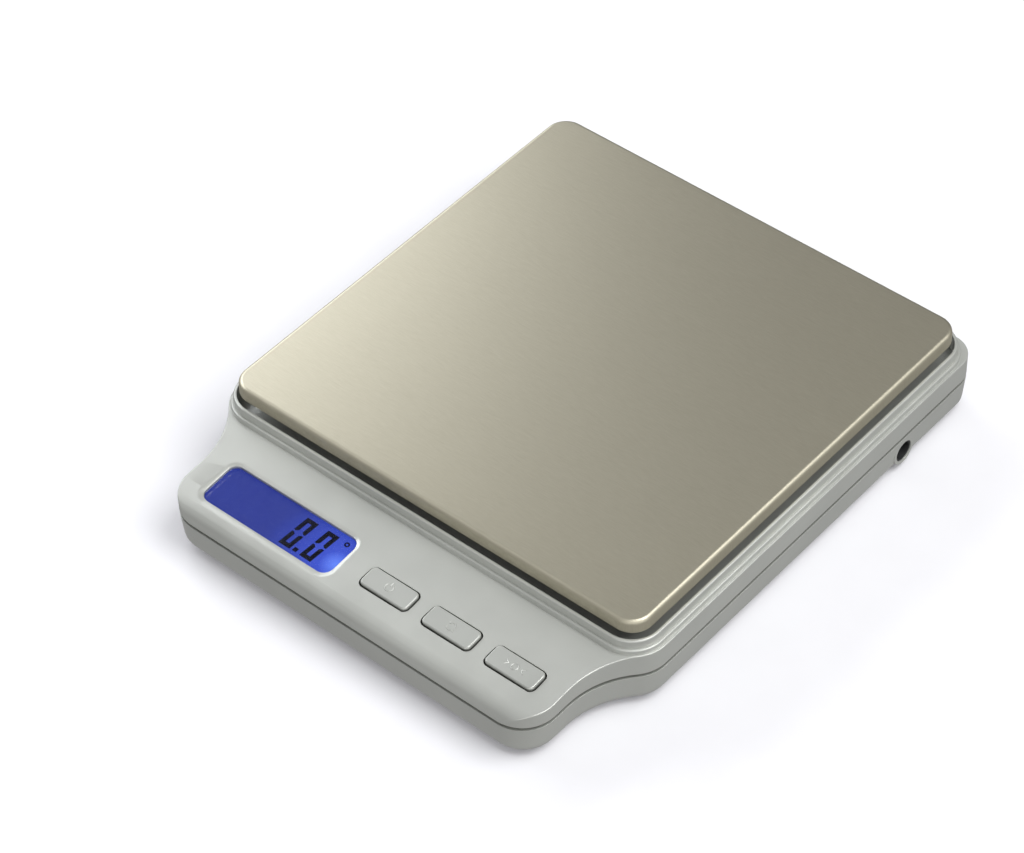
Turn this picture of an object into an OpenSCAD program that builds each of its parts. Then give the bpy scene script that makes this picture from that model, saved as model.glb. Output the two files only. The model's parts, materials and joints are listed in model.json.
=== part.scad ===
// Compact digital gram scale: a square steel pan over a two-piece casing that holds a
// backlit display, three push keys, a load cell, three round cells and a power socket.
// Millimetres. +Z is up, the control panel faces -Y, and the origin is the centre of the
// footprint on the table.

/* [Casing] */
// Width of the casing
body_w = 164.5; // [164:0.5:168]
// Length of the casing, front to back
body_l = 198.5; // [198:0.5:202]
// Width of the control panel in front of the pan
panel_w = 141; // [140:0.5:142]
// Height that the feet hold the casing off the table
foot_h = 1.5; // [1.2:0.1:1.5]
// Height of the groove between the two halves of the casing
parting_z = 13.2; // [13:0.1:13.4]
// Height of the upper edge of the side walls
wall_top_z = 21.5; // [21.3:0.1:21.7]
// Height of the lip around the pan
lip_top_z = 26; // [25.6:0.1:26.2]
// Wall thickness of both casing halves
wall = 2.2; // [2:0.1:2.3]
// Corner radius at the back
back_r = 8.5; // [8:0.5:10]
// Corner radius at the front of the control panel
front_r = 11.5; // [10:0.5:12]
// Downward slope of the control panel, in degrees
panel_tilt = 5; // [4.5:0.5:5.5]
// Depth of the shallow hollow across the control panel
panel_dish = 0.3; // [0.1:0.1:0.4]

/* [Pan] */
// Side of the square pan
pan_w = 156; // [154:0.5:156]
// Depth of the pan's turned-down rim
pan_h = 4.5; // [4.2:0.1:4.8]
// Height of the weighing surface above the table
pan_top_z = 32; // [31.8:0.1:32.4]
// Thickness of the pan's steel sheet
pan_sheet = 0.6; // [0.5:0.1:0.8]
// Corner radius of the pan
pan_corner = 7; // [5:0.5:8]
// How far the pan sinks before the overload stop
pan_travel = 0.5; // [0.3:0.1:0.5]

/* [Keys] */
// Width of a key cap
key_w = 17.6; // [17:0.1:17.8]
// Depth of a key cap, front to back
key_l = 7.3; // [7:0.1:7.4]
// Distance from one key to the next
key_pitch = 23.5; // [23:0.1:23.7]
// Height of the key caps above the panel
key_proud = 0.7; // [0.6:0.1:1]

/* [Display] */
// Width of the display window
window_w = 50.1; // [49:0.1:51]
// Depth of the display window, front to back
window_l = 15.3; // [14.5:0.1:15.5]
// Corner radius of the display window
window_corner = 3; // [2.5:0.5:3.5]

/* [Power] */
// Radius of the hole for the power plug
socket_r = 3.6; // [3.4:0.1:3.7]
// Radius of one round cell
cell_r = 5.1; // [5:0.05:5.25]
// Length of one round cell without its nub
cell_l = 43.5; // [43.3:0.1:43.6]
// Distance from one cell to the next
cell_pitch = 11; // [10.8:0.1:11.2]

/* [Load cell] */
// Length of the beam
beam_l = 80; // [78:1:82]
// Width of the beam
beam_w = 12.7; // [12:0.1:13]
// Radius of the two round holes that thin the beam
beam_eye_r = 4.6; // [4.4:0.1:4.8]

/* [Hidden] */
$fn = 64;
eps = 0.01;

// Casing outline: two rectangles joined at each side by an S of two arcs
half_w = body_w / 2;
half_l = body_l / 2;
panel_half = panel_w / 2;
shoulder_y = 46.45 - half_l;
shoulder_r = 12.2;
shoulder_a = 43.9;
waist_r = (half_w - panel_half) / (1 - cos(shoulder_a)) - shoulder_r;
shoulder_c = [half_w - shoulder_r, shoulder_y];
waist_c = shoulder_c + (shoulder_r + waist_r) * [cos(shoulder_a), -sin(shoulder_a)];

// Levels of the casing
floor_z = foot_h;
floor_top_z = 3.7;
groove_h = 1.2;
lower_top_z = parting_z - groove_h / 2;
upper_low_z = parting_z + groove_h / 2;
tongue_h = 2.1;
tongue_out = 1;
tongue_in = 2;
rebate = 0.95;
deck_z = 20;
deck_low_z = 17.8;

// Control panel: a plane that starts under the lip and rolls over at the front
panel_t = 2;
crease_y = 37.05 - half_l;
roll_r = 5.6;
roll_y = roll_r - half_l;
function panel_z(y) = wall_top_z + (y - crease_y) * tan(panel_tilt);
roll_z = panel_z(roll_y) - roll_r / cos(panel_tilt);
roll_start_y = roll_y - roll_r * sin(panel_tilt);
key_y = 14.45 - half_l;

// Pan well and lip
pan_y = half_l - half_w;
well_w = pan_w + 2.6;
well_corner = 9.2;
lip_w = 2.1;
carrier_w = pan_w - 6;
carrier_top_z = pan_top_z - pan_sheet - 0.2;
carrier_t = 2.4;
carrier_low_z = carrier_top_z - carrier_t;

// Load cell: fixed at the back end, free at the front end
beam_z = 5.3;
beam_h = 12;
beam_top_z = beam_z + beam_h;
plate_t = 1;
beam_screws = [25, 35];
screw_r = 1.6;
tapped_r = 1.65;
clear_r = 1.8;
moving_y = pan_y - (beam_screws[0] + beam_screws[1]) / 2;
fixed_y = pan_y + (beam_screws[0] + beam_screws[1]) / 2;

// Display stack, measured down from the panel's surface
window_x = -36.9;
window_y = 0.55;
bevel_w = 2.4;
bevel_h = 0.75;
lens_top = 1.35;
lens_low = 2.05;
glass_top = 2.9;
light_top = 4.9;
pcb_top = 8;
pcb_t = 1.6;
glass_w = 54;
glass_l = 18;
glass_x = -35.9;
glass_y = 0.6;

// Keys, measured from the panel's surface
key_gap = 0.5;
key_corner = 1.6;
key_first_x = 6.7;
key_low = 2.3;
key_flange_t = 1;
plunger_top = 4.3;
plunger_r = 1.7;
switch_w = 6;
switch_top = 4.8;

// Casing fastenings
casing_screw_spots = [for (s = [-1, 1]) each [[s * 71, 87], [s * 73, -30], [s * 64.5, -69.2]]];
foot_spots = [for (s = [-1, 1]) each [[s * 60, 76], [s * 54, -84]]];
foot_r = 5.5;
pcb_screw_spots = [[-3.2, 7.8], [-3.2, -7.8], [42, 7.8], [42, -7.8]];

// Battery bay
bay_x = -46;
bay_y = 29;
bay_w = 50;
bay_l = 34;
bay_wall = 1.5;
bay_roof_z = 14.9;
cell_z = 9.2;
door_w = 51.4;
door_l = 35.4;
door_t = floor_top_z - floor_z;
door_gap = 0.3;
hinge_z = floor_z + door_t / 2;
hinge_x = bay_x + door_w / 2 - door_t / 2;
hinge_pin_r = 0.7;

// Power socket
socket_y = 62.1;
socket_z = 6.7;
socket_face_x = half_w - 0.25;
socket_back_x = half_w - 3.45;
jack_x = half_w - 4.45;
jack_l = 14;
jack_mouth_x = socket_face_x - 0.3;
jack_mouth_l = 3.2;
jack_mouth_r = socket_r - 0.6;
jack_bore_r = socket_r - 1.3;
jack_depth = 10;
jack_pin_r = 1;

// ---------------------------------------------------------------- shared shapes

// Flat rectangle with round corners, centred
module rounded_rect(w, l, r) {
    square([w - 2 * r, l], center = true);
    square([w, l - 2 * r], center = true);
    for (x = [-1, 1], y = [-1, 1]) translate([x * (w / 2 - r), y * (l / 2 - r)]) circle(r);
}

// Slab with round corners from height z0 to z1
module rounded_slab(w, l, r, z0, z1) {
    translate([0, 0, z0]) linear_extrude(z1 - z0) rounded_rect(w, l, r);
}

// Upright block centred in plan, from height z0 to z1
module block(w, l, z0, z1) {
    translate([-w / 2, -l / 2, z0]) cube([w, l, z1 - z0]);
}

// Upright cylinder from height z0 to z1
module post(r, z0, z1) {
    translate([0, 0, z0]) cylinder(r = r, h = z1 - z0);
}

// A profile swept round a rounded rectangle; the profile's x is the distance outward
module frame_sweep(w, l, r) {
    for (turn = [0, 180]) rotate(turn) {
        translate([w / 2, 0, 0]) rotate([90, 0, 0])
            linear_extrude(l - 2 * r, center = true) children();
        rotate(90) translate([l / 2, 0, 0]) rotate([90, 0, 0])
            linear_extrude(w - 2 * r, center = true) children();
        translate([w / 2 - r, l / 2 - r, 0])
            rotate_extrude(angle = 90) translate([r, 0]) children();
        translate([w / 2 - r, r - l / 2, 0]) rotate(-90)
            rotate_extrude(angle = 90) translate([r, 0]) children();
    }
}

// Points of an arc about the centre c, from the angle a0 to a1
function arc(c, r, a0, a1, steps) = [for (i = [0 : steps])
    let (a = a0 + (a1 - a0) * i / steps) c + r * [cos(a), sin(a)]];

// Right half of the casing's plan outline, drawn in by d, from the front to the back
function half_outline(d) = concat(
    arc([panel_half - front_r, front_r - half_l], front_r - d, -90, 0, 12),
    arc(waist_c, waist_r + d, 180, 180 - 0.9 * shoulder_a, 9),
    arc(shoulder_c, shoulder_r - d, -shoulder_a, 0, 7),
    arc([half_w - back_r, half_l - back_r], back_r - d, 0, 90, 12));

// Plan outline of the casing, drawn in by the distance d
function whole_outline(d) = let (right = half_outline(d), n = len(right))
    concat(right, [for (i = [n - 1 : -1 : 0]) [-right[i][0], right[i][1]]]);

module outline(d) {
    polygon(whole_outline(d));
}

// Closed solid through a chain of [inset, height] pairs, each a ring of the plan outline;
// the first and the last ring are capped
module outline_loft(chain) {
    rings = [for (c = chain) [for (q = whole_outline(c[0])) [q[0], q[1], c[1]]]];
    n = len(rings[0]);
    points = [for (ring = rings) each ring];
    walls = [for (k = [0 : len(chain) - 2], i = [0 : n - 1])
        let (a = k * n + i, b = k * n + (i + 1) % n) [a, a + n, b + n, b]];
    last = (len(chain) - 1) * n;
    polyhedron(points, concat(walls, [[for (i = [0 : n - 1]) i],
        [for (i = [n - 1 : -1 : 0]) last + i]]));
}

// Slab with the casing's outline, drawn in by d, from height z0 to z1
module casing_slab(d, z0, z1) {
    translate([0, 0, z0]) linear_extrude(z1 - z0) outline(d);
}

// Moves children from the panel's own frame, with z out of its surface, onto the casing
module on_panel() {
    translate([0, key_y, panel_z(key_y)]) rotate([panel_tilt, 0, 0]) children();
}

// Smooth curve through a few route points, and a round lead swept along it
function unit(v) = v / norm(v);
function blend(a, b, c, d, t) = 0.5 * (2 * b + (c - a) * t
    + (2 * a - 5 * b + 4 * c - d) * t * t + (3 * b - a - 3 * c + d) * t * t * t);
function smooth_route(p, steps) = let (n = len(p)) [
    for (i = [0 : n - 2], k = [0 : steps - 1])
        blend(p[max(i - 1, 0)], p[i], p[i + 1], p[min(i + 2, n - 1)], k / steps),
    p[n - 1]];
function heading(p, i) = unit(p[min(i + 1, len(p) - 1)] - p[max(i - 1, 0)]);

module tube(p, r, up, sides) {
    rings = len(p);
    points = [for (i = [0 : rings - 1], k = [0 : sides - 1])
        let (t = heading(p, i), u = unit(cross(t, up)), v = cross(u, t))
        p[i] + r * (cos(360 * k / sides) * u + sin(360 * k / sides) * v)];
    walls = [for (i = [0 : rings - 2], k = [0 : sides - 1])
        let (a = i * sides + k, b = i * sides + (k + 1) % sides) [a, b, b + sides, a + sides]];
    ends = [[for (k = [sides - 1 : -1 : 0]) k],
            [for (k = [0 : sides - 1]) (rings - 1) * sides + k]];
    polyhedron(points, concat(walls, ends));
}

module lead(route) {
    tube(smooth_route(route, 5), 0.65, [0, 0, 1], 8);
}

// Pan-head screw pointing up along +Z, with its head's seat at z = 0
module screw(head_r, head_h, shank_r, shank_l) {
    post(shank_r, -eps, shank_l);
    difference() {
        post(head_r, -head_h, 0);
        for (turn = [0, 90]) rotate(turn) block(head_r, 0.7, -head_h - 1, 0.7 - head_h);
    }
}

// ---------------------------------------------------------------- casing

// Points across the panel's outer face, from the crease down to the rolled edge
function dished_panel(steps) = [for (i = [1 : steps - 1])
    let (t = i / steps, y = crease_y + (roll_start_y - crease_y) * t)
    [y, panel_z(y) - 4 * panel_dish * t * (1 - t)]];

// Side view of the upper casing, drawn in by d: level back part up to top_z, sloping
// panel that is dished on the outside only, rolled front edge
module side_view(d, low_z, top_z) {
    back_y = half_l + 1;
    panel_y = crease_y + (d > 0 ? 1 : 0);
    polygon(concat([[back_y, low_z], [back_y, top_z], [panel_y, top_z]],
        d > 0 ? [[panel_y, panel_z(panel_y) - d / cos(panel_tilt)]] : dished_panel(8),
        arc([roll_y, roll_z], roll_r - d, 90 + panel_tilt, 180, 12),
        [[roll_y - roll_r + d, low_z]]));
}

// Solid with the casing's plan outline and side view, both drawn in
module casing_body(plan_d, side_d, low_z, top_z) {
    intersection() {
        casing_slab(plan_d, low_z, wall_top_z + 1);
        translate([-half_w - 1, 0, 0]) rotate([90, 0, 90])
            linear_extrude(body_w + 2) side_view(side_d, low_z, top_z);
    }
}

// Rounded two-step moulding that rises from the casing to the lip around the pan
module lip_profile() {
    rise = lip_top_z - wall_top_z;
    step_r = 0.55;
    base_z = wall_top_z - 1;
    polygon([[0, base_z], [lip_w, base_z], [lip_w, wall_top_z + rise * 0.25],
        for (a = [0 : 15 : 90]) [lip_w - step_r + step_r * cos(a),
            wall_top_z + rise * 0.25 + step_r * sin(a)],
        [lip_w - step_r - 0.45, wall_top_z + rise * 0.36],
        for (a = [0 : 15 : 90]) [lip_w - 1.05 - step_r + step_r * cos(a),
            lip_top_z - step_r + step_r * sin(a)],
        [0.1, lip_top_z], [0, lip_top_z - 0.1]]);
}

module upper_casing() {
    color([0.78, 0.79, 0.77]) difference() {
        union() {
            difference() {
                casing_body(0, 0, upper_low_z, wall_top_z);
                casing_slab(rebate, upper_low_z - 1, lower_top_z + tongue_h + 0.1);
                casing_body(wall, panel_t, upper_low_z - 1, deck_low_z);
            }
            translate([0, pan_y, 0]) frame_sweep(well_w, well_w, well_corner) lip_profile();
            upper_bosses();
            for (x = [-1, 1], y = [-1, 1]) translate([x * 60, pan_y + y * 60, 0])
                post(3, deck_z - 1, carrier_low_z - 0.9);
        }
        translate([0, pan_y, 0]) difference() {
            rounded_slab(well_w, well_w, well_corner, deck_z, wall_top_z + 1);
            for (x = [-1, 1], y = [-1, 1]) translate([x * 60, y * 60, 0])
                post(3, deck_z - 1, wall_top_z + 2);
        }
        translate([0, moving_y, 0]) rounded_slab(24, 34, 2, deck_low_z - 1, deck_z + 1);
        on_panel() panel_openings();
        for (p = casing_screw_spots) translate(p) post(1.45, 8, 16);
    }
}

module panel_openings() {
    translate([window_x, window_y, 0]) {
        rounded_slab(window_w + 0.2, window_l + 0.2, window_corner + 0.1, -panel_t - 1, 1);
        frame_sweep(window_w, window_l, window_corner)
            polygon([[-0.5, -bevel_h], [0, -bevel_h], [bevel_w, 0], [bevel_w, 0.5], [-0.5, 0.5]]);
    }
    for (k = [0 : 2]) translate([key_first_x + k * key_pitch, 0, 0])
        rounded_slab(key_w + 2 * key_gap, key_l + 2 * key_gap, key_corner + key_gap,
            -panel_t - 1, 1);
}

// Screw posts of the upper half, for the casing screws and for the circuit board
module upper_bosses() {
    for (p = casing_screw_spots) translate(p)
        post(3.2, 9.2, p[1] < crease_y ? 19.2 : deck_low_z + 0.5);
    on_panel() for (p = pcb_screw_spots) translate(p) difference() {
        post(2.2, -pcb_top, -panel_t + 0.5);
        post(1.05, -pcb_top - 1, -4);
    }
}

// Tray of the lower half: a round bottom edge, a slight draft and a tongue on top
module lower_tray() {
    round_r = 3.7;
    draft = 0.6;
    round_z = floor_z + round_r;
    outline_loft(concat(
        [for (a = [90 : -18 : 0])
            [draft + round_r * (1 - cos(a)), round_z - round_r * sin(a)]],
        [[0, lower_top_z], [tongue_out, lower_top_z], [tongue_out, lower_top_z + tongue_h],
         [tongue_in, lower_top_z + tongue_h], [wall, lower_top_z - 1],
         [wall + draft, round_z], [wall + 2, floor_top_z]]));
}

module lower_casing() {
    color([0.72, 0.73, 0.71]) difference() {
        union() {
            lower_tray();
            for (p = casing_screw_spots) translate(p) post(3.9, floor_top_z - 1, 9);
            translate([0, fixed_y, 0]) block(16, 28, floor_top_z - 1, beam_z - plate_t);
            translate([0, moving_y, 0]) post(4, floor_top_z - 1, floor_top_z + 0.3);
            translate([bay_x, bay_y, 0])
                block(bay_w + 2 * bay_wall, bay_l + 2 * bay_wall, floor_top_z - 1, bay_roof_z + bay_wall);
            socket_bar(socket_r + 1.1, socket_back_x, socket_face_x);
        }
        for (p = casing_screw_spots) translate(p) {
            post(1.7, floor_z - 1, 10);
            post(3.2, floor_z - 1, 5);
        }
        for (p = foot_spots) translate(p) post(foot_r + 0.1, floor_z - 1, floor_z + 0.7);
        for (y = beam_screws) translate([0, pan_y + y, 0]) {
            post(clear_r, floor_z - 1, beam_z);
            post(3.8, floor_z - 1, 3.2);
        }
        translate([0, moving_y, 0]) post(2.05, floor_z - 1, floor_top_z + 1);
        battery_bay_hollow();
        socket_bar(socket_r, jack_x - 0.2, jack_x + 8);
    }
}

// Round hollow across the edge of the door, for a fingernail
module finger_scoop() {
    translate([0, 0, floor_z - 4]) rotate([90, 0, 0]) cylinder(r = 5.2, h = 12, center = true);
}

// Room for the cells, the door and its pivots
module battery_bay_hollow() {
    translate([bay_x, bay_y, 0]) {
        block(bay_w, bay_l, floor_z - 1, bay_roof_z);
        block(door_w + 2 * door_gap, door_l + 2 * door_gap, floor_z - 1, floor_top_z);
    }
    translate([hinge_x, bay_y, hinge_z]) rotate([90, 0, 0])
        cylinder(r = hinge_pin_r + 0.05, h = door_l + 3.4, center = true);
    translate([bay_x - door_w / 2, bay_y, 0]) finger_scoop();
}

module casing_screws() {
    color([0.6, 0.61, 0.63]) for (p = casing_screw_spots)
        translate([p[0], p[1], 5]) screw(2.8, 1.9, 1.4, 9.5);
}

module rubber_feet() {
    color([0.13, 0.13, 0.13]) for (p = foot_spots) translate(p) {
        post(foot_r, 0.4, floor_z + 0.7);
        post(foot_r - 0.5, 0, 0.5);
    }
}

// ---------------------------------------------------------------- display and board

module lcd_window() {
    color([0.75, 0.8, 0.9, 0.4]) on_panel() translate([window_x, window_y, 0]) {
        rounded_slab(window_w, window_l, window_corner, -lens_low - eps, -lens_top);
        rounded_slab(window_w + 4, window_l + 4, window_corner, -glass_top, -lens_low);
    }
}

module lcd_glass() {
    color([0.25, 0.3, 0.65, 0.7]) on_panel() translate([glass_x, glass_y, 0])
        block(glass_w, glass_l, -light_top, -glass_top);
}

module lcd_backlight() {
    color([0.3, 0.4, 0.9]) on_panel() translate([glass_x, glass_y - 1.1, 0])
        block(glass_w, glass_l - 2.2, -pcb_top, -light_top);
}

module lcd_frame() {
    color([0.9, 0.9, 0.88]) on_panel() translate([glass_x, glass_y, 0]) difference() {
        block(glass_w + 3, glass_l + 2.6, -pcb_top, -glass_top);
        block(glass_w + 0.2, glass_l + 0.2, -pcb_top - 1, -glass_top + 1);
    }
}

module zebra_strip() {
    color([0.85, 0.55, 0.6]) on_panel()
        translate([glass_x, glass_y + glass_l / 2 - 1.1, 0])
            block(glass_w - 4, 1.6, -pcb_top, -light_top);
}

module main_pcb() {
    color([0.1, 0.35, 0.18]) on_panel() translate([0, 0, -pcb_top - pcb_t]) difference() {
        translate([-63.5, -10.3, 0]) cube([124.5, 21.3, pcb_t]);
        for (p = pcb_screw_spots) translate(p) post(1.3, -1, pcb_t + 1);
    }
}

module pcb_screws() {
    color([0.6, 0.61, 0.63]) on_panel() for (p = pcb_screw_spots)
        translate([p[0], p[1], -pcb_top - pcb_t]) screw(2, 1.2, 1, 5);
}

// Parts soldered under the board
module processor_chip() {
    color([0.08, 0.08, 0.09]) on_panel()
        translate([-22, 0, -pcb_top - pcb_t]) block(14, 14, -1.6, 0);
}

module converter_chip() {
    color([0.08, 0.08, 0.09]) on_panel()
        translate([18, 2, -pcb_top - pcb_t]) block(9, 5, -1.5, 0);
}

module capacitors() {
    color([0.2, 0.2, 0.24]) on_panel() for (x = [30.5, 36.5])
        translate([x, -2, -pcb_top - pcb_t]) post(2, -3.6, 0);
}

module crystal() {
    color([0.7, 0.7, 0.72]) on_panel()
        translate([-6, 1, -pcb_top - pcb_t]) rounded_slab(4, 10, 1.9, -3, 0);
}

// Push switch on the board under one key, with a well for its plunger
module key_switch(k) {
    color([0.1, 0.1, 0.1]) on_panel() translate([key_first_x + k * key_pitch, 0, 0])
        difference() {
            block(switch_w, switch_w, -pcb_top, -switch_top);
            post(plunger_r + 0.05, -pcb_top + 0.6, 0);
        }
}

// Cap of one key, with its retaining flange and stem
module key_cap(k) {
    color([0.8, 0.81, 0.79]) on_panel() translate([key_first_x + k * key_pitch, 0, 0]) {
        rounded_slab(key_w, key_l, key_corner, -key_low - eps, key_proud - 0.5);
        translate([0, 0, key_proud - 0.5]) frame_sweep(key_w - 1, key_l - 1, key_corner - 0.5)
            polygon([[-0.4, -eps], [0.5, -eps], [0.35, 0.3], [0, 0.5], [-0.4, 0.5]]);
        rounded_slab(key_w - 1.4, key_l - 1.4, key_corner - 0.7, 0, key_proud);
        rounded_slab(key_w + 2, key_l + 2, key_corner + 1, -key_low - key_flange_t, -key_low);
        post(1.5, -plunger_top, -key_low - key_flange_t + eps);
    }
}

module key_plunger(k) {
    color([0.55, 0.12, 0.1]) on_panel() translate([key_first_x + k * key_pitch, 0, 0])
        post(plunger_r, -6.8, -plunger_top);
}

module power_switch() { key_switch(0); }
module unit_switch() { key_switch(1); }
module tare_switch() { key_switch(2); }
module power_button() { key_cap(0); }
module unit_button() { key_cap(1); }
module tare_button() { key_cap(2); }
module power_plunger() { key_plunger(0); }
module unit_plunger() { key_plunger(1); }
module tare_plunger() { key_plunger(2); }

// ---------------------------------------------------------------- power

// Cylinder along +X on the socket's axis, from x0 to x1
module socket_bar(r, x0, x1) {
    translate([x0, socket_y, socket_z]) rotate([0, 90, 0]) cylinder(r = r, h = x1 - x0);
}

// Black socket body with a round nose that fills the hole in the casing
module dc_jack() {
    color([0.1, 0.1, 0.1]) difference() {
        union() {
            translate([jack_x - jack_l, socket_y - 4.5, floor_top_z]) cube([jack_l, 9, 7.4]);
            socket_bar(socket_r - 0.1, jack_x - eps, jack_mouth_x);
        }
        socket_bar(jack_mouth_r, jack_mouth_x - jack_mouth_l, jack_mouth_x + 1);
        socket_bar(jack_bore_r, jack_x - jack_depth, jack_mouth_x);
        socket_bar(jack_pin_r + 0.55, jack_x - jack_depth - 1.6, jack_x - jack_depth + eps);
    }
}

// Centre pin on a wider root
module dc_jack_pin() {
    color([0.75, 0.75, 0.72]) {
        socket_bar(jack_pin_r + 0.5, jack_x - jack_depth - 1.5, jack_x - jack_depth);
        socket_bar(jack_pin_r, jack_x - jack_depth - eps, jack_x - 0.5);
    }
}

module dc_lead_red() {
    color([0.75, 0.1, 0.08]) lead([[63.5, 64, 5.6], [57, 61.5, 5.2], [51, 53, 4.8], [46, 36, 4.8],
        [43, 8, 4.8], [41, -26, 4.8], [38.5, -54, 5.2], [35, -69, 7], [32.5, -76.5, 9.4]]);
}

module dc_lead_black() {
    color([0.08, 0.08, 0.08]) lead([[63.5, 60.5, 5.6], [59.5, 58.5, 5.2], [54.5, 51, 4.8],
        [49.5, 36, 4.8], [46, 10, 4.8], [44, -25, 4.8], [42, -55, 5.2], [39, -70, 7],
        [37, -76.5, 9.4]]);
}

// One round cell, turned so that its nub points to -X (flip = 1) or +X (flip = -1)
module round_cell(i, flip) {
    color([0.15, 0.3, 0.2]) translate([bay_x, bay_y + (i - 1) * cell_pitch, cell_z])
        rotate([0, -90 * flip, 0]) {
            post(cell_r, bay_w / 2 - 1.6 - cell_l, bay_w / 2 - 1.6);
            post(1.9, bay_w / 2 - 1.6 - eps, bay_w / 2 - 0.6);
        }
}

module battery_1() { round_cell(0, 1); }
module battery_2() { round_cell(1, -1); }
module battery_3() { round_cell(2, 1); }

// Conical coil between a contact plate and the flat end of each cell
module battery_springs() {
    turns = 3;
    per_turn = 12;
    gap = bay_w - 1.6 - cell_l - 0.4;
    color([0.8, 0.8, 0.8]) for (i = [0 : 2]) {
        flip = i == 1 ? -1 : 1;
        start = bay_x + flip * (bay_w / 2 - 0.4);
        coil = [for (k = [0 : turns * per_turn]) let (f = k / (turns * per_turn), a = f * turns * 360)
            [start - flip * (0.35 + (gap - 0.7) * f),
             bay_y + (i - 1) * cell_pitch + (3.6 - 1.6 * f) * cos(a),
             cell_z + (3.6 - 1.6 * f) * sin(a)]];
        tube(coil, 0.3, [1, 0, 0], 6);
    }
}

// Nickel plates: two single ones at the ends of the series, two that join neighbours
module battery_contacts() {
    color([0.78, 0.78, 0.76]) {
        contact_plate(-1, 0, 0);
        contact_plate(-1, 1, 2);
        contact_plate(1, 0, 1);
        contact_plate(1, 2, 2);
    }
}

module contact_plate(side, from, to) {
    x = bay_x + side * (bay_w / 2 - 0.2);
    y0 = bay_y + (from - 1) * cell_pitch - 4.5;
    y1 = bay_y + (to - 1) * cell_pitch + 4.5;
    translate([x - 0.2, y0, cell_z - 4.5]) cube([0.4, y1 - y0, 9]);
}

module battery_lead_red() {
    color([0.75, 0.1, 0.08]) lead([[-73.2, 18, 7], [-74.2, 10, 5.6], [-71, -4, 4.8],
        [-67, -30, 4.8], [-62, -55, 5.2], [-55, -69, 7], [-50, -76.5, 9.4]]);
}

module battery_lead_black() {
    color([0.08, 0.08, 0.08]) lead([[-18.8, 40, 7], [-17, 32, 5.2], [-15, 12, 4.8],
        [-15, -25, 4.8], [-22, -55, 5.2], [-34, -69, 7], [-42, -76.5, 9.4]]);
}

// ---------------------------------------------------------------- load cell

// Aluminium beam with two eyes joined by a slot, which leaves four thin bending sections
module load_cell() {
    eye = 9;
    color([0.8, 0.81, 0.83]) translate([0, pan_y, 0]) difference() {
        block(beam_w, beam_l, beam_z, beam_top_z);
        translate([0, 0, beam_z + beam_h / 2]) {
            for (y = [-eye, eye]) translate([0, y, 0]) rotate([0, 90, 0])
                cylinder(r = beam_eye_r, h = beam_w + 2, center = true);
            cube([beam_w + 2, 2 * eye, 4], center = true);
        }
        for (y = beam_screws, s = [-1, 1]) translate([0, s * y, 0])
            post(tapped_r, beam_z - 1, beam_top_z + 1);
    }
}

// Sealed strain gauges on the thin sections
module strain_gauges() {
    color([0.93, 0.93, 0.9]) translate([0, pan_y, 0]) for (y = [-9, 9]) translate([0, y, 0]) {
        rounded_slab(9, 8, 1.5, beam_top_z, beam_top_z + 0.35);
        rounded_slab(9, 8, 1.5, beam_z - 0.5, beam_z);
    }
}

module load_cell_cable() {
    color([0.85, 0.85, 0.83]) lead([[7.1, 30, 11], [8.5, 24, 9], [11, 8, 5.6], [13, -20, 4.8],
        [14, -50, 5.2], [12.5, -69, 7], [11, -76.5, 9.4]]);
}

module load_cell_base_plate() {
    color([0.62, 0.63, 0.65]) mount_plate(fixed_y, beam_z - plate_t);
}

module load_cell_top_plate() {
    color([0.62, 0.63, 0.65]) mount_plate(moving_y, beam_top_z);
}

// Steel plate that spreads one pair of screws
module mount_plate(y, z) {
    translate([0, y, 0]) difference() {
        block(beam_w + 1.3, 26, z, z + plate_t);
        for (s = [-5, 5]) translate([0, s, 0]) post(clear_r, z - 1, z + plate_t + 1);
    }
}

module load_cell_base_screws() {
    color([0.5, 0.51, 0.53]) for (y = beam_screws)
        translate([0, pan_y + y, 3.2]) screw(3.3, 1.3, screw_r, 11);
}

module overload_stop_screw() {
    color([0.5, 0.51, 0.53]) translate([0, moving_y, 0]) difference() {
        post(2, floor_z + 0.4, beam_z - pan_travel - 0.1);
        post(1, floor_z, floor_z + 1.4, $fn = 6);
    }
}

// ---------------------------------------------------------------- platform

// Pressed steel pan: flat top, rolled edge and turned-down rim
module platform_pan() {
    roll = 1.4;
    low = pan_top_z - pan_h;
    color([0.76, 0.75, 0.7]) translate([0, pan_y, 0]) {
        rounded_slab(pan_w - 2 * roll + 0.2, pan_w - 2 * roll + 0.2, pan_corner - roll + 0.1,
            pan_top_z - pan_sheet, pan_top_z);
        frame_sweep(pan_w, pan_w, pan_corner) polygon([
            [-pan_sheet, low], [0, low],
            for (a = [0 : 15 : 90]) [roll * (cos(a) - 1), pan_top_z + roll * (sin(a) - 1)],
            for (a = [90 : -15 : 0]) [-roll + (roll - pan_sheet) * cos(a),
                pan_top_z - roll + (roll - pan_sheet) * sin(a)]]);
    }
}

module pan_pads() {
    color([0.2, 0.2, 0.2]) for (x = [-1, 1], y = [-1, 1])
        translate([x * 48, pan_y + y * 48, 0])
            rounded_slab(24, 24, 2, carrier_top_z, pan_top_z - pan_sheet);
}

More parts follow.
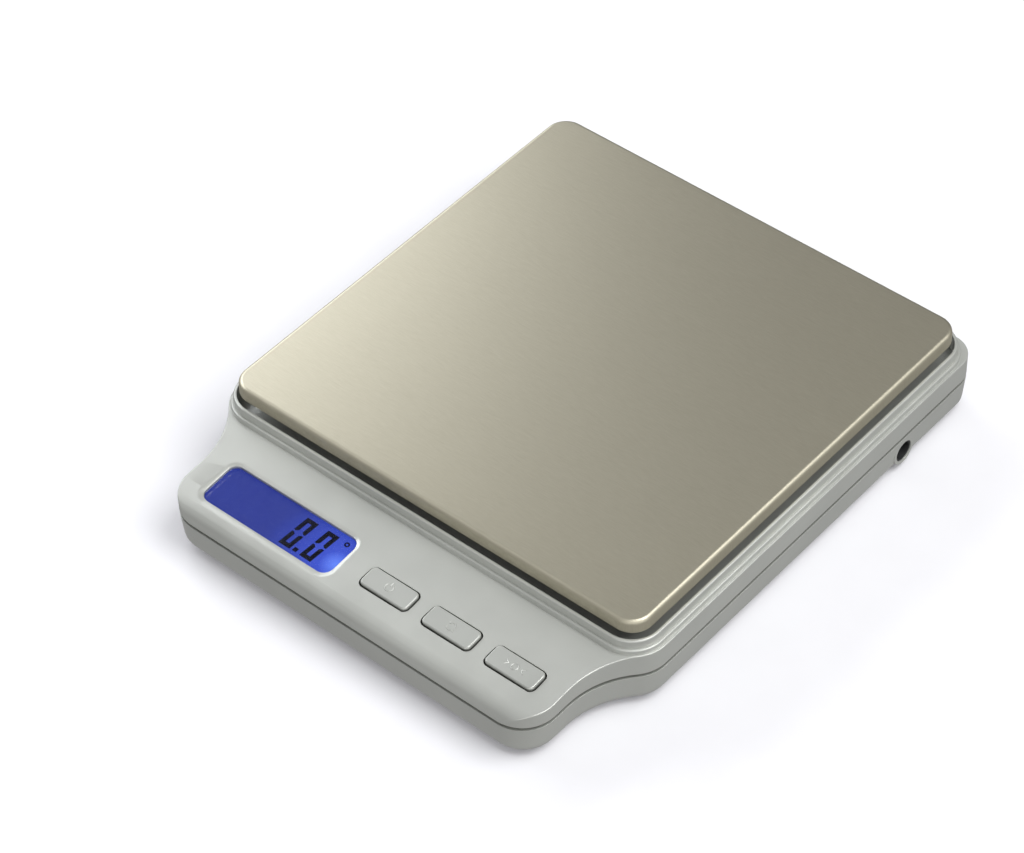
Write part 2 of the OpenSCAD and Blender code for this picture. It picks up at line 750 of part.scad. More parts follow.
// Ribbed plastic tray between the load cell and the pan
module platform_carrier() {
    rib_z = carrier_low_z - 3;
    color([0.5, 0.51, 0.49]) translate([0, pan_y, 0]) difference() {
        union() {
            rounded_slab(carrier_w - 3, carrier_w - 3, 2.5, carrier_low_z, carrier_top_z);
            frame_sweep(carrier_w, carrier_w, 4) polygon([[-2, rib_z], [0, rib_z],
                [0, carrier_top_z], [-2, carrier_top_z]]);
            for (turn = [45, -45]) rotate(turn)
                block(carrier_w * 1.3, 2, rib_z, carrier_low_z + 1);
            translate([0, moving_y - pan_y, 0])
                rounded_slab(18, 28, 2, beam_top_z + plate_t, carrier_low_z + 1);
        }
        for (x = [-1, 1], y = [-1, 1]) translate([x * 60, y * 60, 0])
            post(4.5, rib_z - 1, carrier_low_z);
        for (y = beam_screws) translate([0, -y, 0]) {
            post(clear_r, beam_top_z, carrier_top_z + 1);
            post(3.8, 22, carrier_top_z + 1);
        }
    }
}

module platform_screws() {
    color([0.5, 0.51, 0.53]) for (y = beam_screws)
        translate([0, pan_y - y, 22]) mirror([0, 0, 1]) screw(3.3, 2, screw_r, 13);
}

// ---------------------------------------------------------------- battery door

module battery_door() {
    color([0.72, 0.73, 0.71]) translate([bay_x, bay_y, 0]) {
        difference() {
            union() {
                translate([-door_t / 4, 0, 0]) block(door_w - door_t / 2, door_l, floor_z, floor_top_z);
                translate([hinge_x - bay_x, 0, hinge_z]) rotate([90, 0, 0])
                    cylinder(r = door_t / 2, h = door_l, center = true);
            }
            translate([-door_w / 2, 0, 0]) finger_scoop();
            for (k = [0 : 3]) translate([6 - door_w / 2 + k * 2, 0, floor_z])
                rotate([90, 0, 0]) cylinder(r = 0.4, h = 14, center = true);
        }
        translate([hinge_x - bay_x, 0, hinge_z]) rotate([90, 0, 0])
            cylinder(r = hinge_pin_r, h = door_l + 3, center = true);
    }
}

// Foam strip that presses the cells against their contacts
module door_pad() {
    color([0.25, 0.25, 0.27]) translate([bay_x, bay_y, 0])
        block(30, 30, floor_top_z, cell_z - cell_r - 0.05);
}

upper_casing();
lower_casing();
casing_screws();
rubber_feet();
lcd_window();
lcd_glass();
lcd_backlight();
lcd_frame();
zebra_strip();
main_pcb();
pcb_screws();
processor_chip();
converter_chip();
capacitors();
crystal();
power_switch();
unit_switch();
tare_switch();
dc_jack();
dc_jack_pin();
dc_lead_red();
dc_lead_black();
battery_1();
battery_2();
battery_3();
battery_springs();
battery_contacts();
battery_lead_red();
battery_lead_black();
load_cell();
strain_gauges();
load_cell_cable();
load_cell_base_plate();
load_cell_base_screws();
overload_stop_screw();
platform_pan();
pan_pads();
platform_carrier();
load_cell_top_plate();
platform_screws();
power_button();
power_plunger();
unit_button();
unit_plunger();
tare_button();
tare_plunger();
battery_door();
door_pad();
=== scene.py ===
import json
import math

import bmesh
import bpy
from mathutils import Matrix, Vector


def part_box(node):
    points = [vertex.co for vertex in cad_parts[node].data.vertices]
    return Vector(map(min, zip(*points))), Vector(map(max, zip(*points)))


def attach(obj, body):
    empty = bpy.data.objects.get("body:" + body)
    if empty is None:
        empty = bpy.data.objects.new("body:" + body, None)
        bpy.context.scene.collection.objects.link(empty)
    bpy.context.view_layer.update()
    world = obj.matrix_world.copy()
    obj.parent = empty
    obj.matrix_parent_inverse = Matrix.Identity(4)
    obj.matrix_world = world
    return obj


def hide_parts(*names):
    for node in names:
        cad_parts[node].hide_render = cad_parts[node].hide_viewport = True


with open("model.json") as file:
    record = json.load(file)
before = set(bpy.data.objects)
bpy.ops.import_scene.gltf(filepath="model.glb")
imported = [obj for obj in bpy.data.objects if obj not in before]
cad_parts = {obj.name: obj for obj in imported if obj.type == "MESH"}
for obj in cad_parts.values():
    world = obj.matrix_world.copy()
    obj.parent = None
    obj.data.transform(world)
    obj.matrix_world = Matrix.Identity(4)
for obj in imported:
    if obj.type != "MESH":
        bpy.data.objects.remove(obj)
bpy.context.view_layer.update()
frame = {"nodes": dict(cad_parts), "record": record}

# A small digital gram scale: pale silver casing, square brushed pan, blue display and three keys.
# Lengths are metres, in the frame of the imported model. MM turns millimetres into metres.

MM = 0.001

# Camera: a long lens from the front right, looking down at about 46 degrees
CAMERA_PLACE = Vector((0.4789, -0.5594, 0.7692))
CAMERA_AZIMUTH = math.radians(41.72)
CAMERA_ELEVATION = math.radians(45.7)
CAMERA_ROLL = math.radians(-2.02)
CAMERA_LENS = 123.4
SENSOR_WIDTH = 36.0

# Brightness of the surround from straight down (0) through the horizon (0.5) to overhead (1)
SURROUND = ((0.0, 0.4), (0.44, 0.36), (0.5, 0.1), (0.58, 0.14), (0.74, 0.3), (1.0, 0.3))

# The floor's half width, and the point that the lights are aimed at
FLOOR_REACH = 3.0
LIT_POINT = Vector((0, 0, 0.02))

# Edge rounding: what counts as one point, as flat, as a sharp edge and as an edge to round,
# and the widths of the rounds on the casing's wall, its ledges and thin plates
WELD = 0.003 * MM
FLAT_ANGLE = math.radians(0.5)
SHARP_ANGLE = math.radians(40)
CREASE_ANGLE = math.radians(35)
WALL_ROUND = 0.35 * MM
LEDGE_ROUND = 0.2 * MM
PLATE_ROUND = 0.12 * MM

# Room left under the top plate for the bending of the rigid beam, and under the lens for the digits
PLATE_ROOM = 0.52 * MM
LENS_ROOM = 0.1 * MM

# Directions: straight up, and on the control panel along its width, up its slope and out of it
PANEL_TILT = math.radians(5)
UP = Vector((0, 0, 1))
RIGHT = Vector((1, 0, 0))
UPHILL = Vector((0, math.cos(PANEL_TILT), math.sin(PANEL_TILT)))
OUT = Vector((0, -math.sin(PANEL_TILT), math.cos(PANEL_TILT)))

# Display, measured from the middle of its window: two slanted seven-segment digits with a point
# between them, a small ring, and the lamp behind the glass
DIGIT_WIDTH = 4.4 * MM
DIGIT_HEIGHT = 11.9 * MM
DIGIT_STROKE = 1.5 * MM
DIGIT_BREAK = 0.3 * MM
DIGIT_SLANT = math.tan(math.radians(4.9))
DIGIT_SPOTS = (7.0 * MM, 15.2 * MM)
DIGIT_RISE = 0.3 * MM
POINT_SPOT = (10.8 * MM, -5.1 * MM)
RING_SPOT = (21.4 * MM, 5.5 * MM)
RING_RADII = (0.9 * MM, 0.4 * MM)
LAMP_SPOT = Vector((23.5 * MM, -2 * MM, 0))
INK_LOW = 0.02 * MM
INK_TOP = 0.05 * MM

# Signs moulded on the keys
SIGN_WIDTH = 0.5 * MM
SIGN_HEIGHT = 0.17 * MM
SIGN_SINK = 0.01 * MM
SIGN_RADIUS = 1.35 * MM


# ---------------------------------------------------------------- the camera, floor and light

def add_camera():
    """Camera turned by its azimuth, elevation and roll."""
    azimuth, elevation, roll = CAMERA_AZIMUTH, CAMERA_ELEVATION, CAMERA_ROLL
    back = Vector((math.sin(azimuth) * math.cos(elevation),
                   -math.cos(azimuth) * math.cos(elevation), math.sin(elevation)))
    level = (-back).cross(UP).normalized()
    upright = level.cross(-back)
    right = level * math.cos(roll) + upright * math.sin(roll)
    up = upright * math.cos(roll) - level * math.sin(roll)
    data = bpy.data.cameras.new("camera")
    data.lens = CAMERA_LENS
    data.sensor_width = SENSOR_WIDTH
    data.clip_start = 0.05
    camera = bpy.data.objects.new("camera", data)
    camera.matrix_world = Matrix((right, up, back)).transposed().to_4x4()
    camera.matrix_world.translation = CAMERA_PLACE
    bpy.context.scene.collection.objects.link(camera)
    bpy.context.scene.camera = camera


def area_light(name, place, width, height, watts, colour):
    """Rectangular soft light, aimed at the scale."""
    data = bpy.data.lights.new(name, "AREA")
    data.shape = "RECTANGLE"
    data.size = width
    data.size_y = height
    data.energy = watts
    data.color = colour
    lamp = bpy.data.objects.new(name, data)
    turn = (LIT_POINT - Vector(place)).to_track_quat("-Z", "Y")
    lamp.matrix_world = Matrix.LocRotScale(Vector(place), turn, None)
    bpy.context.scene.collection.objects.link(lamp)


def add_lights():
    """Two softboxes that shape the shine, and a large dim light from the front right."""
    area_light("softbox_above", (0.6, 0.2, 1.1), 0.9, 0.9, 12, (0.99, 1.0, 1.0))
    area_light("softbox_left", (-0.693, 0.078, 0.46), 1.0, 0.4, 4.1, (0.95, 0.97, 1.0))
    area_light("fill_front", (0.92, -0.88, 0.5), 2.6, 1.0, 9.5, (1.0, 1.0, 1.0))


def add_surround():
    """Plain white surround, dimmer towards the horizon than overhead or underneath."""
    world = bpy.data.worlds.new("studio")
    world.use_nodes = True
    nodes, links = world.node_tree.nodes, world.node_tree.links
    split = nodes.new("ShaderNodeSeparateXYZ")
    links.new(nodes.new("ShaderNodeTexCoord").outputs["Generated"], split.inputs[0])
    height = nodes.new("ShaderNodeMapRange")
    height.inputs["From Min"].default_value = -1
    links.new(split.outputs["Z"], height.inputs["Value"])
    ramp = nodes.new("ShaderNodeValToRGB")
    ramp.color_ramp.elements.remove(ramp.color_ramp.elements[1])
    for k, (place, level) in enumerate(SURROUND):
        stop = ramp.color_ramp.elements[0] if k == 0 else ramp.color_ramp.elements.new(place)
        stop.position = place
        stop.color = (level, level, level, 1)
    links.new(height.outputs["Result"], ramp.inputs["Fac"])
    links.new(ramp.outputs["Color"], nodes["Background"].inputs["Color"])
    bpy.context.scene.world = world


def add_floor():
    """Pale floor that the scale stands on, left out of reflections."""
    mesh = bpy.data.meshes.new("floor")
    corners = [(x * FLOOR_REACH, y * FLOOR_REACH, 0) for x, y in ((-1, -1), (1, -1), (1, 1), (-1, 1))]
    mesh.from_pydata(corners, [], [(0, 1, 2, 3)])
    floor = bpy.data.objects.new("floor", mesh)
    bpy.context.scene.collection.objects.link(floor)
    paint = Paint("floor_paper")
    paint.set(roughness=0.9)
    paint.colour_from(paint.noise(40, 3), (0.83, 0.825, 0.85), (0.85, 0.845, 0.87))
    paint.set(emission_color=(0.93, 0.91, 1.0, 1), emission_strength=0.09)
    mesh.materials.append(paint.material)
    floor.visible_diffuse = floor.visible_glossy = False


# ---------------------------------------------------------------- materials

class Paint:
    """One procedural material, built up from noise, stripes and bumps."""

    def __init__(self, name):
        self.material = bpy.data.materials.new(name)
        self.material.use_nodes = True
        self.tree = self.material.node_tree
        self.shader = self.tree.nodes["Principled BSDF"]
        self.height = None

    def node(self, kind, **settings):
        made = self.tree.nodes.new(kind)
        for key, value in settings.items():
            setattr(made, key, value)
        return made

    def feed(self, socket, value):
        """Sets a socket to a number, or links another node's output to it."""
        if isinstance(value, bpy.types.NodeSocket):
            self.tree.links.new(value, socket)
        else:
            socket.default_value = value

    def set(self, **values):
        """Plain values on the shader: metallic=1 sets its Metallic socket."""
        for key, value in values.items():
            socket = key.replace("_", " ").title().replace("Ior", "IOR")
            self.shader.inputs[socket].default_value = value

    def place(self, stretch=(1, 1, 1)):
        """Position on the object, in metres, stretched along its axes."""
        mapping = self.node("ShaderNodeMapping")
        self.feed(mapping.inputs["Scale"], stretch)
        self.feed(mapping.inputs["Vector"], self.node("ShaderNodeTexCoord").outputs["Object"])
        return mapping.outputs["Vector"]

    def noise(self, scale, detail=2.0, stretch=(1, 1, 1), rough=0.5):
        made = self.node("ShaderNodeTexNoise")
        self.feed(made.inputs["Vector"], self.place(stretch))
        self.feed(made.inputs["Scale"], scale)
        self.feed(made.inputs["Detail"], detail)
        self.feed(made.inputs["Roughness"], rough)
        return made.outputs["Fac"]

    def spots(self, scale):
        """Distance from the nearest of many scattered points."""
        made = self.node("ShaderNodeTexVoronoi")
        self.feed(made.inputs["Vector"], self.place())
        self.feed(made.inputs["Scale"], scale)
        return made.outputs["Distance"]

    def spread(self, value, low, high, start=0.3, end=0.7):
        """Maps a texture's values from start..end to low..high."""
        made = self.node("ShaderNodeMapRange")
        self.feed(made.inputs["Value"], value)
        for socket, number in zip(("From Min", "From Max", "To Min", "To Max"), (start, end, low, high)):
            self.feed(made.inputs[socket], number)
        return made.outputs["Result"]

    def mixed(self, factor, first, second):
        made = self.node("ShaderNodeMix", data_type="RGBA")
        self.feed(made.inputs["Factor"], factor)
        for socket, value in (("A", first), ("B", second)):
            target = [s for s in made.inputs if s.name == socket and s.type == "RGBA"][0]
            self.feed(target, (*value, 1) if isinstance(value, tuple) else value)
        return [s for s in made.outputs if s.type == "RGBA"][0]

    def along(self, axis):
        """Place along the object's X, Y or Z axis, in metres."""
        split = self.node("ShaderNodeSeparateXYZ")
        self.feed(split.inputs[0], self.place())
        return split.outputs[axis]

    def combined(self, operation, first, second):
        made = self.node("ShaderNodeMath", operation=operation)
        self.feed(made.inputs[0], first)
        self.feed(made.inputs[1], second)
        return made.outputs[0]

    def colour_from(self, value, dark, light, start=0.3, end=0.7):
        self.colour(self.mixed(self.spread(value, 0.0, 1.0, start, end), dark, light))

    def colour(self, value):
        self.feed(self.shader.inputs["Base Color"], value)

    def roughness(self, value, low, high, start=0.3, end=0.7):
        self.feed(self.shader.inputs["Roughness"], self.spread(value, low, high, start, end))

    def bump(self, value, depth, strength=1.0):
        """Adds a relief whose full height is depth metres."""
        made = self.node("ShaderNodeBump")
        self.feed(made.inputs["Height"], value)
        self.feed(made.inputs["Distance"], depth)
        self.feed(made.inputs["Strength"], strength)
        if self.height:
            self.feed(made.inputs["Normal"], self.height)
        self.height = made.outputs["Normal"]
        self.feed(self.shader.inputs["Normal"], self.height)


def moulded_plastic(name, dark, light, rough):
    """Satin painted plastic: fine orange-peel grain, slow colour drift, dust, and painted shade that
    darkens its crevices.
    """
    paint = Paint(name)
    paint.set(metallic=0.4, coat_weight=0.25, coat_roughness=0.14)
    drift = paint.spread(paint.noise(28, 4), 0.0, 1.0)
    shade = paint.mixed(drift, dark, light)
    dust = paint.spread(paint.noise(5200, 1), 0.0, 0.35, 0.68, 0.8)
    shade = paint.mixed(dust, shade, tuple(min(1, 1.12 * c) for c in light))
    # Painted shade: the colour turns dark olive in creases, grooves and recesses, where the
    # ambient-occlusion node finds surfaces close by.
    crevice = paint.node("ShaderNodeAmbientOcclusion", samples=8)
    paint.feed(crevice.inputs["Distance"], 9 * MM)
    painted_crevice_shade = paint.spread(crevice.outputs["AO"], 0.9, 0.0, 0.15, 0.45)
    paint.colour(paint.mixed(painted_crevice_shade, shade, (0.05, 0.055, 0.035)))
    paint.roughness(paint.noise(90, 3), rough - 0.03, rough + 0.05)
    for scale in (3800, 160):
        paint.bump(paint.noise(scale, 2), 0.006 * MM)
    return paint.material


def brushed_steel(name, dark, light, rough, lines=(1, 60, 1), top=None):
    """Steel with long fine brush lines across it, duller below its top face."""
    paint = Paint(name)
    paint.set(metallic=1.0)
    brushed = paint.noise(260, 3, lines, 0.65)
    paint.colour_from(brushed, dark, light)
    grain = paint.spread(paint.noise(300, 3, lines, 0.6), rough - 0.05, rough + 0.08)
    if top:
        duller = paint.spread(paint.along("Z"), 0.2, 0.0, top - 0.3 * MM, top - 0.01 * MM)
        grain = paint.combined("ADD", grain, duller)
    paint.feed(paint.shader.inputs["Roughness"], grain)
    paint.bump(brushed, 0.0035 * MM)
    paint.bump(paint.noise(14, 2), 0.04 * MM)
    return paint.material


def machined_metal(name, dark, light, rough, scale=900):
    """Bare metal with small marks and stains."""
    paint = Paint(name)
    paint.set(metallic=1.0)
    paint.colour_from(paint.noise(scale, 4), dark, light)
    paint.roughness(paint.noise(scale * 0.6, 3), rough - 0.08, rough + 0.12)
    paint.bump(paint.noise(scale * 3, 2), 0.006 * MM)
    return paint.material


def soft_rubber(name, dark, light, rough=0.75, grain=0.02 * MM, scale=2600):
    """Matt rubber or foam with a fine dimpled skin and pale dust."""
    paint = Paint(name)
    paint.set(specular_ior_level=0.35)
    paint.colour_from(paint.noise(420, 4), dark, light)
    paint.roughness(paint.noise(200, 2), rough - 0.1, rough + 0.1)
    paint.bump(paint.spots(scale), grain)
    return paint.material


def circuit_board(name):
    """Green solder mask over copper tracks on both axes, with tinned dots."""
    paint = Paint(name)
    across = paint.spread(paint.noise(420, 0, (1, 0.12, 1)), 0.0, 1.0, 0.56, 0.58)
    along = paint.spread(paint.noise(380, 0, (0.12, 1, 1)), 0.0, 1.0, 0.58, 0.6)
    tracks = paint.combined("MAXIMUM", across, along)
    mask = paint.mixed(tracks, (0.012, 0.09, 0.035), (0.03, 0.17, 0.06))
    dots = paint.spread(paint.spots(330), 1.0, 0.0, 0.1, 0.13)
    paint.colour(paint.mixed(dots, mask, (0.62, 0.6, 0.55)))
    paint.roughness(paint.noise(600, 2), 0.28, 0.42)
    paint.bump(tracks, 0.03 * MM)
    return paint.material


def cell_wrap(name):
    """Shrink-wrapped round cell: plain dark green sleeve with a copper-coloured band at one end."""
    paint = Paint(name)
    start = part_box("battery_1")[1].x - 6.6 * MM
    band = paint.spread(paint.along("X"), 0.0, 1.0, start, start + 0.3 * MM)
    drift = paint.spread(paint.noise(300, 3), 0.0, 1.0)
    sleeve = paint.mixed(drift, (0.02, 0.1, 0.05), (0.03, 0.14, 0.07))
    paint.colour(paint.mixed(band, sleeve, (0.62, 0.36, 0.16)))
    paint.set(coat_weight=0.4, coat_roughness=0.12)
    paint.roughness(paint.noise(350, 2), 0.22, 0.36)
    paint.bump(paint.noise(500, 2), 0.04 * MM)
    return paint.material


def clear_lens(name):
    """Clear acrylic with a faint haze and fine wiping marks."""
    paint = Paint(name)
    paint.set(transmission_weight=1.0, ior=1.2)
    paint.colour_from(paint.noise(60, 2), (0.93, 0.95, 1.0), (0.98, 0.99, 1.0))
    paint.roughness(paint.noise(500, 3, (1, 0.15, 1)), 0.02, 0.07)
    paint.bump(paint.noise(900, 2), 0.0008 * MM)
    return paint.material


def lit_display(name):
    """Blue backlit liquid crystal with a bright patch over the lamp at its front right corner."""
    paint = Paint(name)
    apart = paint.node("ShaderNodeVectorMath", operation="DISTANCE")
    paint.feed(apart.inputs[0], paint.place())
    paint.feed(apart.inputs[1], on_top_of("lcd_glass", "lcd_window") @ LAMP_SPOT)
    away = apart.outputs["Value"]
    wide = paint.spread(away, 1.0, 0.0, 3 * MM, 24 * MM)
    near = paint.spread(away, 1.0, 0.0, 0, 5 * MM)
    glow = paint.mixed(wide, (0.022, 0.034, 0.23), (0.045, 0.085, 0.6))
    glow = paint.mixed(near, glow, (0.14, 0.26, 0.95))
    cloud = paint.spread(paint.noise(70, 3), 0.0, 0.12)
    paint.feed(paint.shader.inputs["Emission Color"], paint.mixed(cloud, glow, (0.03, 0.06, 0.42)))
    paint.set(emission_strength=1.0)
    paint.colour_from(paint.noise(900, 2), (0.012, 0.016, 0.06), (0.02, 0.026, 0.085))
    paint.set(specular_ior_level=0.15)
    paint.roughness(paint.noise(1200, 2), 0.12, 0.2)
    return paint.material


def printed_ink(name):
    """Nearly black liquid-crystal shade with a faint blue unevenness."""
    paint = Paint(name)
    paint.set(specular_ior_level=0.1)
    paint.colour_from(paint.noise(1500, 2), (0.002, 0.002, 0.008), (0.006, 0.006, 0.02))
    paint.roughness(paint.noise(1200, 2), 0.3, 0.45)
    return paint.material


def plain_plastic(name, dark, light, rough=0.45):
    """Unpainted moulded plastic with a fine spark-eroded grain."""
    paint = Paint(name)
    paint.colour_from(paint.noise(200, 4), dark, light)
    paint.roughness(paint.noise(700, 3), rough - 0.06, rough + 0.08)
    paint.bump(paint.noise(3000, 2), 0.012 * MM)
    return paint.material


def add_materials():
    """The finish of each material slot."""
    fine = 0.008 * MM
    return {
        "casing_plastic": moulded_plastic("silver_casing", (0.5, 0.51, 0.48), (0.56, 0.57, 0.535), 0.33),
        "key_plastic": moulded_plastic("silver_keys", (0.45, 0.46, 0.43), (0.5, 0.51, 0.48), 0.36),
        "pan_steel": brushed_steel("brushed_pan", (0.53, 0.495, 0.385), (0.62, 0.585, 0.47), 0.343,
                                   top=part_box("platform_pan")[1].z),
        "clear_window": clear_lens("clear_lens"),
        "lcd_glass": lit_display("blue_display"),
        "backlight": plain_plastic("light_guide", (0.5, 0.58, 0.85), (0.6, 0.68, 0.92), 0.3),
        "white_plastic": plain_plastic("white_frame", (0.72, 0.72, 0.7), (0.8, 0.8, 0.78)),
        "zebra_rubber": soft_rubber("zebra_rubber", (0.55, 0.28, 0.32), (0.66, 0.36, 0.4), 0.6),
        "tray_plastic": plain_plastic("grey_tray", (0.42, 0.43, 0.41), (0.5, 0.51, 0.49)),
        "circuit_board": circuit_board("circuit_board"),
        "black_epoxy": plain_plastic("black_epoxy", (0.012, 0.012, 0.013), (0.03, 0.03, 0.032), 0.55),
        "capacitor_can": machined_metal("capacitor_sleeve", (0.05, 0.05, 0.09), (0.09, 0.09, 0.14), 0.35),
        "bright_metal": machined_metal("nickel", (0.62, 0.61, 0.58), (0.74, 0.73, 0.7), 0.24),
        "spring_steel": machined_metal("spring_steel", (0.58, 0.58, 0.58), (0.7, 0.7, 0.69), 0.25),
        "steel_screws": machined_metal("screw_steel", (0.38, 0.385, 0.4), (0.52, 0.525, 0.54), 0.3),
        "plate_steel": machined_metal("plate_steel", (0.45, 0.46, 0.48), (0.58, 0.59, 0.6), 0.38, 500),
        "foot_rubber": soft_rubber("foot_rubber", (0.018, 0.018, 0.018), (0.035, 0.035, 0.034)),
        "foam_pads": soft_rubber("foam", (0.03, 0.03, 0.033), (0.06, 0.06, 0.064), 0.88, 0.06 * MM, 1800),
        "black_plastic": plain_plastic("black_plastic", (0.014, 0.015, 0.015), (0.028, 0.029, 0.03)),
        "plunger_plastic": plain_plastic("red_plastic", (0.3, 0.03, 0.02), (0.38, 0.045, 0.03), 0.38),
        "red_lead": soft_rubber("red_lead", (0.36, 0.02, 0.015), (0.46, 0.03, 0.022), 0.42, fine),
        "black_lead": soft_rubber("black_lead", (0.014, 0.014, 0.014), (0.03, 0.03, 0.03), 0.42, fine),
        "grey_cable": soft_rubber("grey_cable", (0.4, 0.4, 0.39), (0.5, 0.5, 0.48), 0.5, fine),
        "cell_label": cell_wrap("cell_wrap"),
        "beam_aluminium": brushed_steel("milled_aluminium", (0.66, 0.67, 0.68), (0.78, 0.79, 0.8), 0.3,
                                        lines=(60, 1, 1)),
        "gauge_silicone": soft_rubber("gauge_silicone", (0.62, 0.61, 0.57), (0.72, 0.71, 0.67), 0.5),
    }


# ---------------------------------------------------------------- shaping

def lay_anew(bm, level):
    """Fills the flat faces at one height afresh: the casing's underside comes with a fold in it."""
    flat = {face for face in bm.faces if all(abs(v.co.z - level) < 2 * WELD for v in face.verts)}
    rim = [edge for edge in bm.edges if len(flat.intersection(edge.link_faces)) == 1]
    bmesh.ops.delete(bm, geom=list(flat), context="FACES_KEEP_BOUNDARY")
    bmesh.ops.triangle_fill(bm, edges=rim, use_beauty=True, normal=(0, 0, -1))
    bmesh.ops.recalc_face_normals(bm, faces=bm.faces)


def clean_mesh(node):
    """A CAD node's mesh with its flat faces joined, ready to have its edges rounded."""
    bm = bmesh.new()
    bm.from_mesh(frame["nodes"][node].data)
    bmesh.ops.remove_doubles(bm, verts=bm.verts, dist=WELD)
    if node == "lower_casing":
        lay_anew(bm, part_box(node)[0].z)
    bmesh.ops.dissolve_limit(bm, angle_limit=FLAT_ANGLE, verts=bm.verts, edges=bm.edges)
    return bm


def room_beside(edge):
    """Width of the narrower face beside an edge."""
    return min(f.calc_area() / max(edge.calc_length(), max(e.calc_length() for e in f.edges))
               for f in edge.link_faces)


def outer_edges(bm, width, wanted=None):
    """Convex sharp edges with room for a round of that width."""
    return [e for e in bm.edges
            if len(e.link_faces) == 2 and e.is_convex and e.calc_face_angle() > CREASE_ANGLE
            and (wanted is None or wanted(e)) and room_beside(e) > 1.2 * width]


def round_off(bm, edges, width, segments=2):
    if edges:
        bmesh.ops.bevel(bm, geom=edges, offset=width, offset_type="OFFSET", segments=segments,
                        profile=0.5, affect="EDGES", clamp_overlap=False, loop_slide=True)


def finished(bm, name, body, slot, replaced=(), flat_sided=True):
    """Turns a bmesh into a smooth-shaded piece that rides on a body."""
    bm.normal_update()
    for face in bm.faces:
        face.smooth = True
    for edge in bm.edges:
        edge.smooth = not (len(edge.link_faces) == 2 and edge.calc_face_angle() > SHARP_ANGLE)
    mesh = bpy.data.meshes.new(name)
    bm.to_mesh(mesh)
    bm.free()
    mesh.materials.append(MATERIALS[slot])
    piece = bpy.data.objects.new(name, mesh)
    bpy.context.scene.collection.objects.link(piece)
    if flat_sided:
        weighted = piece.modifiers.new("weighted", "WEIGHTED_NORMAL")
        weighted.keep_sharp = True
        weighted.weight = 60
    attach(piece, body)
    if replaced:
        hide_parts(*replaced)
    return piece


def body_of_node(node):
    return next(b for b, names in frame["record"]["behaviour"]["bodies"].items() if node in names)


def raise_underside(bm, up, room):
    """Thins a piece from below, which leaves room under it."""
    low = min(vert.co.dot(up) for vert in bm.verts)
    for vert in bm.verts:
        if vert.co.dot(up) < low + 0.1 * MM:
            vert.co += up * room


def rounded_piece(node, name, width, up=UP, room=0):
    """A CAD node with its outer edges rounded, thinned from below where room is given."""
    bm = clean_mesh(node)
    if room:
        raise_underside(bm, up, room)
    round_off(bm, outer_edges(bm, width), width)
    finished(bm, name, body_of_node(node), SLOT_OF[node], [node])


def swept_piece(node, name):
    """A lead or a coil with its facets smoothed away."""
    bm = bmesh.new()
    bm.from_mesh(frame["nodes"][node].data)
    bmesh.ops.remove_doubles(bm, verts=bm.verts, dist=WELD)
    piece = finished(bm, name, body_of_node(node), SLOT_OF[node], [node], flat_sided=False)
    piece.modifiers.new("smooth", "SUBSURF").levels = 1


def extent(node, direction):
    """Lowest and highest place of a CAD node along a direction."""
    places = [v.co.dot(direction) for v in frame["nodes"][node].data.vertices]
    return min(places), max(places)


def on_top_of(node, centred_on=None):
    """Frame on the panel, at the height of a node's top, centred on it or on another node."""
    middle = [sum(extent(centred_on or node, way)) / 2 for way in (RIGHT, UPHILL)]
    origin = RIGHT * middle[0] + UPHILL * middle[1] + OUT * extent(node, OUT)[1]
    return Matrix.Translation(origin) @ Matrix((RIGHT, UPHILL, OUT)).transposed().to_4x4()


def prism(bm, outline, low, high):
    """Solid with a flat outline of (x, y) points."""
    rings = [[bm.verts.new((x, y, z)) for x, y in outline] for z in (low, high)]
    bm.faces.new(rings[0][::-1])
    bm.faces.new(rings[1])
    count = len(outline)
    for k in range(count):
        n = (k + 1) % count
        bm.faces.new((rings[0][k], rings[0][n], rings[1][n], rings[1][k]))


def ring(bm, centre, radii, low, high):
    """Flat solid ring with an outer and an inner radius."""
    corners = ((radii[0], low), (radii[0], high), (radii[1], high), (radii[1], low))
    bands = [[bm.verts.new((x, y, z)) for x, y in circle(radius, centre)] for radius, z in corners]
    count = len(bands[0])
    for k, band in enumerate(bands):
        other = bands[(k + 1) % len(bands)]
        for m in range(count):
            n = (m + 1) % count
            bm.faces.new((band[m], band[n], other[n], other[m]))


def ridge(bm, path, closed=False):
    """Low round-topped ridge of a sign, along a flat path of (x, y) points."""
    section = [(-0.5, 0.0), (-0.33, 0.7), (0.0, 1.0), (0.33, 0.7), (0.5, 0.0)]
    count = len(path)
    last = count - 1
    rings = []
    for k, (x, y) in enumerate(path):
        before = path[k - 1] if closed else path[max(k - 1, 0)]
        after = path[(k + 1) % count] if closed else path[min(k + 1, last)]
        way = (Vector(after) - Vector(before)).normalized() * SIGN_WIDTH
        rings.append([bm.verts.new((x - way.y * a, y + way.x * a, b * SIGN_HEIGHT)) for a, b in section])
    for k in range(count if closed else last):
        here, there = rings[k], rings[(k + 1) % count]
        for m in range(len(section)):
            n = (m + 1) % len(section)
            bm.faces.new((here[m], there[m], there[n], here[n]))
    if not closed:
        bm.faces.new(rings[0])
        bm.faces.new(rings[-1][::-1])


def point_at(angle, radius, centre=(0, 0)):
    """Point in a direction from a centre, with the angle in degrees."""
    turn = math.radians(angle)
    return (centre[0] + radius * math.cos(turn), centre[1] + radius * math.sin(turn))


def bend(radius, start, end, steps=24, centre=(0, 0)):
    """Points of an arc, with its angles in degrees."""
    return [point_at(start + (end - start) * k / steps, radius, centre) for k in range(steps + 1)]


def circle(radius, centre=(0, 0), steps=24):
    """Points of a full circle, the first of them not repeated."""
    return bend(radius, 0, 360, steps, centre)[:-1]


# ---------------------------------------------------------------- pieces

